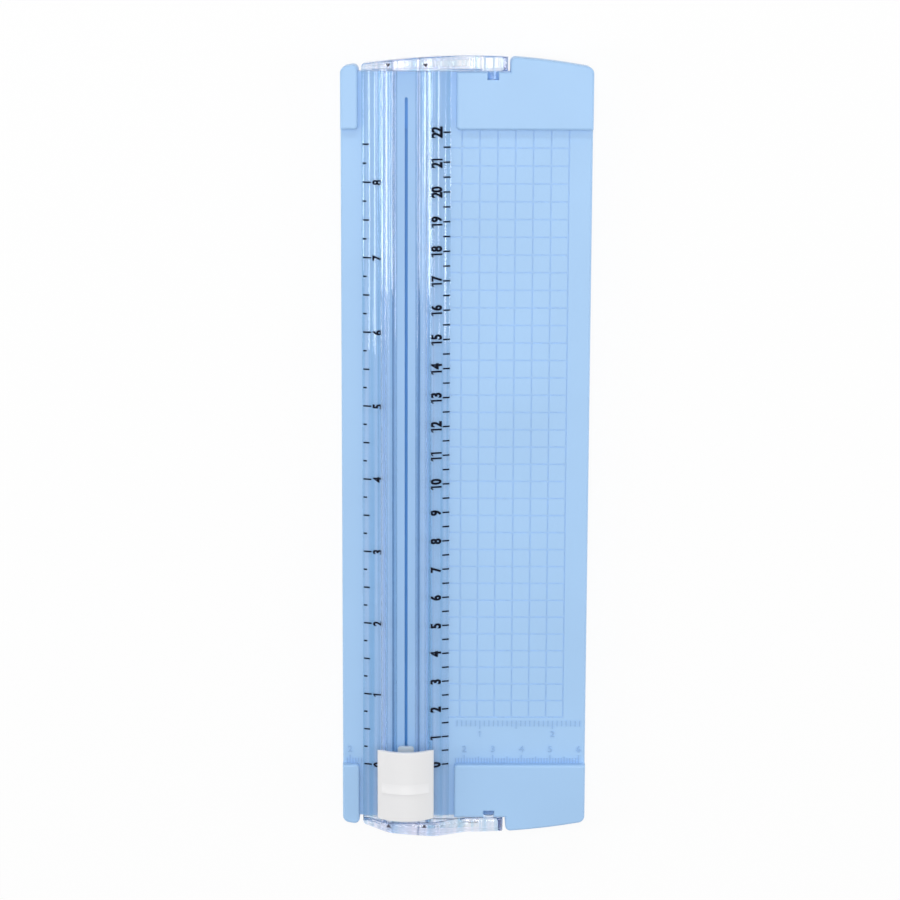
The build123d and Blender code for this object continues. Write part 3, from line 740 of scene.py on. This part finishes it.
class SurfacePattern:
    """Marks drawn flat in plan, then laid on a carrier's top as thin closed pads."""

    def __init__(self, carrier: bpy.types.Object, ceiling: float) -> None:
        """Starts an empty pattern.

        Args:
            carrier: The piece that carries the marks.
            ceiling: Height from which the marks come down on it, in metres.
        """
        mesh = carrier.data
        points = [vertex.co for vertex in mesh.vertices]
        faces = [polygon.vertices for polygon in mesh.polygons]
        self.surface: BVHTree = BVHTree.FromPolygons(points, faces)
        self.ceiling: float = ceiling
        self.plan: bmesh.types.BMesh = bmesh.new()

    def ground(self, x: float, y: float) -> float:
        """Finds the carrier's height below a place.

        Args:
            x: The place in X.
            y: The place in Y.

        Returns:
            The height of the carrier's top there, in metres.
        """
        spot, _, _, _ = self.surface.ray_cast(Vector((x, y, self.ceiling)), Vector((0.0, 0.0, -1.0)))
        if spot is None:
            raise ValueError(f"a mark at {x:.4f}, {y:.4f} lies beside its carrier")
        return spot.z

    def patch(self, corners: Iterable[Span]) -> None:
        """Draws one flat face from its corners in plan."""
        self.plan.faces.new([self.plan.verts.new((x, y, 0.0)) for x, y in corners])

    def bar(self, x_span: Span, y_span: Span) -> None:
        """Draws one straight bar.

        Args:
            x_span: Its two ends in X.
            y_span: Its two ends in Y.
        """
        left, right = sorted(x_span)
        front, rear = sorted(y_span)
        self.patch([(left, front), (right, front), (right, rear), (left, rear)])

    def number(self, text: str, figures: Figures, foot: Span, turn: Turn) -> None:
        """Writes one number.

        Args:
            text: Its digits.
            figures: How they are drawn.
            foot: The middle of the line that its digits stand on, in plan.
            turn: Which way up it is.
        """
        flat = figures.outline(text)
        turned = Matrix.Rotation(math.radians(turn.value), 4, "Z")
        flat.transform(Matrix.Translation((*foot, 0.0)) @ turned)
        self.plan.from_mesh(flat)
        bpy.data.meshes.remove(flat)

    def lay(self, name: str, sink: float, rise: float, creases: Iterable[float] = ()) -> bpy.types.Object:
        """Lays the drawn marks on the carrier.

        Args:
            name: The new piece's name.
            sink: How far the marks reach into the carrier, in metres.
            rise: How far they stand proud of it, in metres.
            creases: Places in X where the carrier's slope changes.

        Returns:
            The new piece.
        """
        plan = self.plan
        bmesh.ops.remove_doubles(plan, verts=plan.verts[:], dist=WELD)
        for crease in creases:
            drawn = [*plan.verts, *plan.edges, *plan.faces]
            bmesh.ops.bisect_plane(plan, geom=drawn, plane_co=(crease, 0.0, 0.0), plane_no=(1.0, 0.0, 0.0))
        lifted = bmesh.ops.extrude_face_region(plan, geom=plan.faces[:])
        tops = {part for part in lifted["geom"] if isinstance(part, bmesh.types.BMVert)}
        for vertex in plan.verts:
            height = rise if vertex in tops else -sink
            vertex.co.z = self.ground(vertex.co.x, vertex.co.y) + height
        bmesh.ops.recalc_face_normals(plan, faces=plan.faces[:])
        mesh = bpy.data.meshes.new(name)
        plan.to_mesh(mesh)
        plan.free()
        piece = bpy.data.objects.new(name, mesh)
        bpy.context.scene.collection.objects.link(piece)
        return piece


@dataclass
class Assembly:
    """What all sub-assemblies share: the frame's nodes and the pieces to report."""

    nodes: dict[str, bpy.types.Object]
    made: list[str] = field(default_factory=list, init=False)

    def cover(self, finish: Finish, *names: str) -> None:
        """Puts a finish on nodes of the frame.

        Args:
            finish: The finish.
            names: The nodes.
        """
        for name in names:
            dress(self.nodes[name], finish)
            self.made.append(name)

    def carry(self, piece: bpy.types.Object, finish: Finish, body: Body, slot: Slot | None = None) -> None:
        """Puts a finish on a new piece and lets a body carry it.

        Args:
            piece: The new piece.
            finish: Its finish.
            body: The body that it moves with.
            slot: Not used.
        """
        dress(piece, finish)
        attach(piece, body.value)
        self.made.append(piece.name)

    @property
    def cut_x(self) -> float:
        """The cutting line's place in X, which is the blade's middle."""
        low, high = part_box("cutting_blade")
        return (low.x + high.x) / 2.0


@dataclass
class TrimmerBase(Assembly):
    """The moulded base, with two rulers raised on its bed in front of the grid."""

    colour: Colour = (0.392, 0.610, 0.896)
    # Painted shade in the cutting groove: the base's colour there is multiplied by a darker, deeper blue.
    groove_half: float = 0.9 * MM
    groove_half_length: float = 126.0 * MM
    groove_top: float = 11.8 * MM
    groove_tone: Colour = (0.34, 0.70, 0.95)
    # The raised marks are the base's plastic, given a darker blue as painted shade for the fine relief's
    # own shadows.
    mark_plastic: MouldedPlastic = MouldedPlastic("mark_painted_shade_plastic", colour=(0.318, 0.508, 0.775))
    ceiling: float = 14.0 * MM
    mark_width: float = 0.32 * MM
    mark_rise: float = 0.30 * MM
    mark_sink: float = 0.05 * MM
    ruler_shift: float = 0.4 * MM
    inch_line_y: float = -95.1 * MM
    inch_parts: int = 16
    inch_first: int = 11
    inch_last: int = 38
    inch_mark: float = 2.0 * MM
    inch_long_mark: float = 2.9 * MM
    inch_figures: Figures = Figures(height=2.0 * MM, narrowing=1.1, weight=0.0, stroke=0.11)
    inch_foot_y: float = -100.9 * MM
    stop_y: float = -110.4 * MM
    millimetre_right: Counts = (17, 60)
    millimetre_left: Counts = (-21, -16)
    millimetre_mark: float = 1.7 * MM
    half_mark: float = 2.2 * MM
    centimetre_mark: float = 2.8 * MM
    centimetre_figures: Figures = Figures(height=2.2 * MM, narrowing=1.1, weight=0.0, stroke=0.11)
    centimetre_foot_y: float = -106.5 * MM

    def build(self) -> None:
        """Dresses the base and raises its two rulers."""
        groove = Groove(
            middle=self.cut_x,
            half_width=self.groove_half,
            half_length=self.groove_half_length,
            top=self.groove_top,
            tone=self.groove_tone,
        )
        self.cover(MouldedPlastic("base_blue_plastic_groove_shade", colour=self.colour, groove=groove), "base_shell")
        self.carry(self.inch_ruler(), self.mark_plastic, Body.BASE, Slot.BASE)
        self.carry(self.centimetre_ruler(), self.mark_plastic, Body.BASE, Slot.BASE)

    def raised(self, pattern: SurfacePattern, name: str) -> bpy.types.Object:
        """Lays a ruler's marks on the bed as a low relief."""
        return pattern.lay(name, self.mark_sink, self.mark_rise)

    def inch_ruler(self) -> bpy.types.Object:
        """Draws the ruler in sixteenths of an inch, which hangs below the grid.

        Returns:
            The raised ruler.
        """
        pattern = SurfacePattern(self.nodes["base_shell"], self.ceiling)
        half = self.mark_width / 2.0
        for part in range(self.inch_first, self.inch_last + 1):
            x = self.cut_x + self.ruler_shift + part * INCH / self.inch_parts
            long_one = part % (self.inch_parts // 2) == 0
            length = self.inch_long_mark if long_one else self.inch_mark
            pattern.bar((x - half, x + half), (self.inch_line_y, self.inch_line_y - length))
            if part % self.inch_parts == 0:
                number = str(part // self.inch_parts)
                pattern.number(number, self.inch_figures, (x, self.inch_foot_y), Turn.UPRIGHT)
        return self.raised(pattern, "bed_inch_ruler")

    def centimetre_ruler(self) -> bpy.types.Object:
        """Draws the ruler in millimetres, which stands on the front paper stop.

        Returns:
            The raised ruler.
        """
        pattern = SurfacePattern(self.nodes["base_shell"], self.ceiling)
        half = self.mark_width / 2.0
        for first, last in (self.millimetre_left, self.millimetre_right):
            for step in range(first, last + 1):
                x = self.cut_x + self.ruler_shift + step * MM
                length = self.millimetre_mark
                if step % MM_IN_HALF_CENTIMETRE == 0:
                    length = self.half_mark
                if step % MM_IN_CENTIMETRE == 0:
                    length = self.centimetre_mark
                    number = str(abs(step) // MM_IN_CENTIMETRE)
                    foot = (x, self.centimetre_foot_y)
                    pattern.number(number, self.centimetre_figures, foot, Turn.UPRIGHT)
                pattern.bar((x - half, x + half), (self.stop_y, self.stop_y + length))
        return self.raised(pattern, "bed_centimetre_ruler")


@dataclass
class Underside(Assembly):
    """The cover plate under the base, its screws and the rubber feet."""

    plastic: MouldedPlastic = MouldedPlastic(
        "cover_blue_plastic", colour=(0.372, 0.585, 0.870), roughness=(0.46, 0.58)
    )
    steel: BrushedSteel = BrushedSteel("screw_steel", brushing=EVEN_GRAIN)
    rubber: SoftRubber = SoftRubber("foot_rubber")

    def build(self) -> None:
        """Dresses the underside."""
        self.cover(self.plastic, "bottom_cover")
        self.cover(self.steel, "cover_screws")
        for end in ("front", "rear"):
            for side in ("left", "right"):
                self.cover(self.rubber, f"foot_{end}_{side}")


@dataclass
class ClearRail(Assembly):
    """The clear hinged rail, with a scale printed on each flange and arrows on its arms."""

    ink: PrintInk = PrintInk("scale_ink")
    arrow_ink: PrintInk = PrintInk("arrow_ink", colour=(0.045, 0.040, 0.060))
    ceiling: float = 17.0 * MM
    arm_ceiling: float = 24.0 * MM
    film_gap: float = 0.01 * MM
    film: float = 0.03 * MM
    shelf_half: float = 9.2 * MM
    zero_y: float = -110.5 * MM
    centimetres: int = 22
    centimetre_mark: Span = (12.5 * MM, 14.85 * MM)
    mark_width: float = 0.5 * MM
    centimetre_figures: Figures = Figures(height=3.9 * MM, narrowing=0.78, weight=0.045)
    centimetre_foot: float = 12.2 * MM
    quarter_inches: int = 34
    inch_start: float = -14.6 * MM
    inch_reach: Triple = (-11.9 * MM, -12.5 * MM, -13.4 * MM)
    inch_figures: Figures = Figures(height=3.3 * MM, narrowing=0.82, weight=0.038)
    inch_foot: float = -8.1 * MM
    arrow_x: float = 6.2 * MM
    arrow_shift: float = 0.25 * MM
    arrow_front_y: float = -130.9 * MM
    arrow_rear_y: float = 131.8 * MM
    arrow_half: float = 0.85 * MM
    arrow_length: float = 1.2 * MM

    def build(self) -> None:
        """Dresses the rail and prints on it."""
        self.cover(ClearPlastic("rail_clear_plastic", middle=self.cut_x), "clear_rail")
        for piece in (self.centimetre_scale(), self.inch_scale()):
            self.carry(piece, self.ink, Body.RAIL)
        self.carry(self.arrows(), self.arrow_ink, Body.RAIL)

    def printed(self, pattern: SurfacePattern, name: str) -> bpy.types.Object:
        """Lays printing on the rail as a thin film."""
        creases = (self.cut_x - self.shelf_half, self.cut_x + self.shelf_half)
        return pattern.lay(name, -self.film_gap, self.film_gap + self.film, creases)

    def mark(self, pattern: SurfacePattern, along: float, ends: Span) -> None:
        """Prints one mark of a scale.

        Args:
            pattern: The printing that it belongs to.
            along: Its place from the scale's zero, in metres.
            ends: Its two ends from the cutting line, in metres.
        """
        y = self.zero_y + along
        half = self.mark_width / 2.0
        pattern.bar((self.cut_x + ends[0], self.cut_x + ends[1]), (y - half, y + half))

    def centimetre_scale(self) -> bpy.types.Object:
        """Prints the right flange: a mark each half centimetre and a number each centimetre.

        Returns:
            The printing.
        """
        pattern = SurfacePattern(self.nodes["clear_rail"], self.ceiling)
        for half in range(2 * self.centimetres + 1):
            self.mark(pattern, half * CENTIMETRE / 2.0, self.centimetre_mark)
        for step in range(self.centimetres + 1):
            foot = (self.cut_x + self.centimetre_foot, self.zero_y + step * CENTIMETRE)
            pattern.number(str(step), self.centimetre_figures, foot, Turn.READ_FROM_RIGHT)
        return self.printed(pattern, "printed_centimetre_scale")

    def inch_scale(self) -> bpy.types.Object:
        """Prints the left flange: a mark each quarter inch and a number each inch.

        Returns:
            The printing.
        """
        pattern = SurfacePattern(self.nodes["clear_rail"], self.ceiling)
        inch_end, half_end, quarter_end = self.inch_reach
        ends = (inch_end, quarter_end, half_end, quarter_end)
        for quarter in range(self.quarter_inches + 1):
            inch, part = divmod(quarter, QUARTERS_IN_INCH)
            along = quarter * INCH / QUARTERS_IN_INCH
            self.mark(pattern, along, (self.inch_start, ends[part]))
            if part == 0:
                foot = (self.cut_x + self.inch_foot, self.zero_y + along)
                pattern.number(str(inch), self.inch_figures, foot, Turn.READ_FROM_RIGHT)
        return self.printed(pattern, "printed_inch_scale")

    def arrows(self) -> bpy.types.Object:
        """Prints two arrows on each arm, which point along the cut.

        Returns:
            The printing.
        """
        pattern = SurfacePattern(self.nodes["clear_rail"], self.arm_ceiling)
        for y in (self.arrow_front_y, self.arrow_rear_y):
            outward = math.copysign(self.arrow_length / 2.0, y)
            for side in (-1.0, 1.0):
                x = self.cut_x + self.arrow_shift + side * self.arrow_x
                back = y + outward
                pattern.patch([(x - self.arrow_half, back), (x, y - outward), (x + self.arrow_half, back)])
        return pattern.lay("printed_arrows", -self.film_gap, self.film_gap + self.film)


@dataclass
class PressSlider(Assembly):
    """The push cap, its runner, and the sprung blade between its carriers."""

    cap_plastic: MouldedPlastic = MouldedPlastic(
        "cap_white_plastic", colour=(0.85, 0.85, 0.86), roughness=(0.34, 0.44), mottle=0.012
    )
    runner_plastic: MilkyPlastic = MilkyPlastic("runner_milky_plastic")
    carrier_plastic: MouldedPlastic = MouldedPlastic("carrier_white_plastic", colour=(0.70, 0.71, 0.72))
    blade_steel: BrushedSteel = BrushedSteel("blade_steel", roughness=(0.12, 0.26))
    spring_steel: BrushedSteel = BrushedSteel("spring_steel", brushing=EVEN_GRAIN)
    press_joint: str = "slider_press"
    press_travel: float = 2.0 * MM

    def build(self) -> None:
        """Dresses the slider, and puts a copy in place of each of the frame's springs."""
        self.cover(self.cap_plastic, "slider_cap")
        self.cover(self.runner_plastic, "slider_runner")
        self.cover(self.carrier_plastic, "blade_carrier_left", "blade_carrier_right")
        self.cover(self.blade_steel, "cutting_blade", "blade_pin")
        for end in ("front", "rear"):
            rigid = self.nodes[f"press_spring_{end}"]
            spring = self.coil(f"coil_spring_{end}", rigid)
            self.carry(spring, self.spring_steel, Body.RUNNER, Slot.STEEL)
            self.press(spring, rigid)

    def coil(self, name: str, rigid: bpy.types.Object) -> bpy.types.Object:
        """Makes a copy of the frame's spring, in its own shape, and hides the frame's spring.

        Args:
            name: The new piece's name.
            rigid: The frame's spring.

        Returns:
            The new piece, which stands for the frame's spring.
        """
        spring = bpy.data.objects.new(name, rigid.data.copy())
        bpy.context.scene.collection.objects.link(spring)
        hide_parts(rigid.name)
        return spring

    def press(self, spring: bpy.types.Object, rigid: bpy.types.Object) -> None:
        """Gives a spring a mesh of its own.

        Args:
            spring: The spring that gives way.
            rigid: Not used.
        """
        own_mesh(spring)


@dataclass(frozen=True)
class Softbox:
    """One soft studio lamp."""

    name: str
    place: Triple
    width: float
    length: float
    power: float

    def light(self, aim: Vector) -> None:
        """Hangs the lamp.

        Args:
            aim: The point that it faces.
        """
        lamp = bpy.data.lights.new(self.name, "AREA")
        lamp.shape = "RECTANGLE"
        lamp.size = self.width
        lamp.size_y = self.length
        lamp.energy = self.power
        holder = bpy.data.objects.new(self.name, lamp)
        holder.location = self.place
        holder.rotation_euler = (aim - Vector(self.place)).to_track_quat("-Z", "Y").to_euler()
        bpy.context.scene.collection.objects.link(holder)


@dataclass
class Studio:
    """A white sweep, soft lamps and the camera above the trimmer."""

    sweep: PaperSweep = PaperSweep("studio_paper")
    floor_half: float = 3.0
    floor_drop: float = 0.1 * MM
    clear_bounces: int = 12
    fill: float = 0.42
    ceiling_tone: float = 0.30
    ceiling_rise: Span = (0.15, 0.55)
    lamps: tuple[Softbox, ...] = (
        Softbox("top_softbox", (-0.03, 0.21, 1.25), 0.28, 0.63, 5.2),
        Softbox("rear_softbox", (-0.10, 0.75, 0.60), 0.70, 0.10, 1.4),
        Softbox("left_strip", (-0.80, 0.0, 0.45), 0.19, 0.50, 1.6),
        Softbox("right_strip", (0.80, 0.0, 0.45), 0.19, 0.50, 1.6),
    )
    lens: float = 104.0
    sensor: float = 36.0
    nearest: float = 0.01
    eye: Triple = (-9.2 * MM, 163.8 * MM, 888.4 * MM)
    tilt: Triple = (math.radians(-10.52), math.radians(-0.22), math.radians(0.20))

    def build(self) -> None:
        """Sets up the floor, the light and the camera."""
        self.lay_floor()
        self.fill_room()
        for lamp in self.lamps:
            lamp.light(Vector((0.0, 0.0, 0.0)))
        self.place_camera()
        bpy.context.scene.view_settings.view_transform = "Standard"
        bpy.context.scene.cycles.glossy_bounces = self.clear_bounces

    def lay_floor(self) -> None:
        """Lays the white sweep just under the feet."""
        mesh = bpy.data.meshes.new("studio_floor")
        reach = self.floor_half
        corners = [(-reach, -reach, 0.0), (reach, -reach, 0.0), (reach, reach, 0.0), (-reach, reach, 0.0)]
        mesh.from_pydata(corners, [], [(0, 1, 2, 3)])
        floor = bpy.data.objects.new("studio_floor", mesh)
        floor.location.z = -self.floor_drop
        bpy.context.scene.collection.objects.link(floor)
        dress(floor, self.sweep)

    def fill_room(self) -> None:
        """Fills the room with even light.

        Clear and shiny pieces, and the camera, see a white room with a dimmer ceiling instead.
        """
        room = bpy.data.worlds.new("studio_room")
        bpy.context.scene.world = room
        board = NodeBoard(room)
        even = board.add("ShaderNodeBackground")
        even.inputs["Color"].default_value = (*WHITE, 1.0)
        even.inputs["Strength"].default_value = self.fill
        walls = board.add("ShaderNodeBackground")
        walls.inputs["Color"].default_value = (*WHITE, 1.0)
        height = board.along(board.outward, "Z")
        dimmed = board.spread(height, 1.0, self.ceiling_tone, self.ceiling_rise, "SMOOTHSTEP")
        board.join(dimmed, walls.inputs["Strength"])
        seen = board.any_ray(*SEEN_RAYS)
        board.close(board.mix(seen, even.outputs["Background"], walls.outputs["Background"]))

    def place_camera(self) -> None:
        """Places the camera where the trimmer is seen from, above its rear half."""
        camera = bpy.data.cameras.new("camera")
        camera.lens = self.lens
        camera.sensor_width = self.sensor
        camera.clip_start = self.nearest
        holder = bpy.data.objects.new("camera", camera)
        holder.location = self.eye
        holder.rotation_euler = self.tilt
        bpy.context.scene.collection.objects.link(holder)
        bpy.context.scene.camera = holder


def main() -> None:
    """Builds the trimmer's looks around the frame, piece by piece."""
    logging.basicConfig(level=logging.INFO, format="%(name)s: %(message)s")
    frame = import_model()
    for assembly in (TrimmerBase, Underside, ClearRail, PressSlider):
        built = assembly(frame["nodes"])
        built.build()
        for name in built.made:
            LOG.info("%s: %s", assembly.__name__, name)
    Studio().build()


if __name__ == "__main__":
    main()
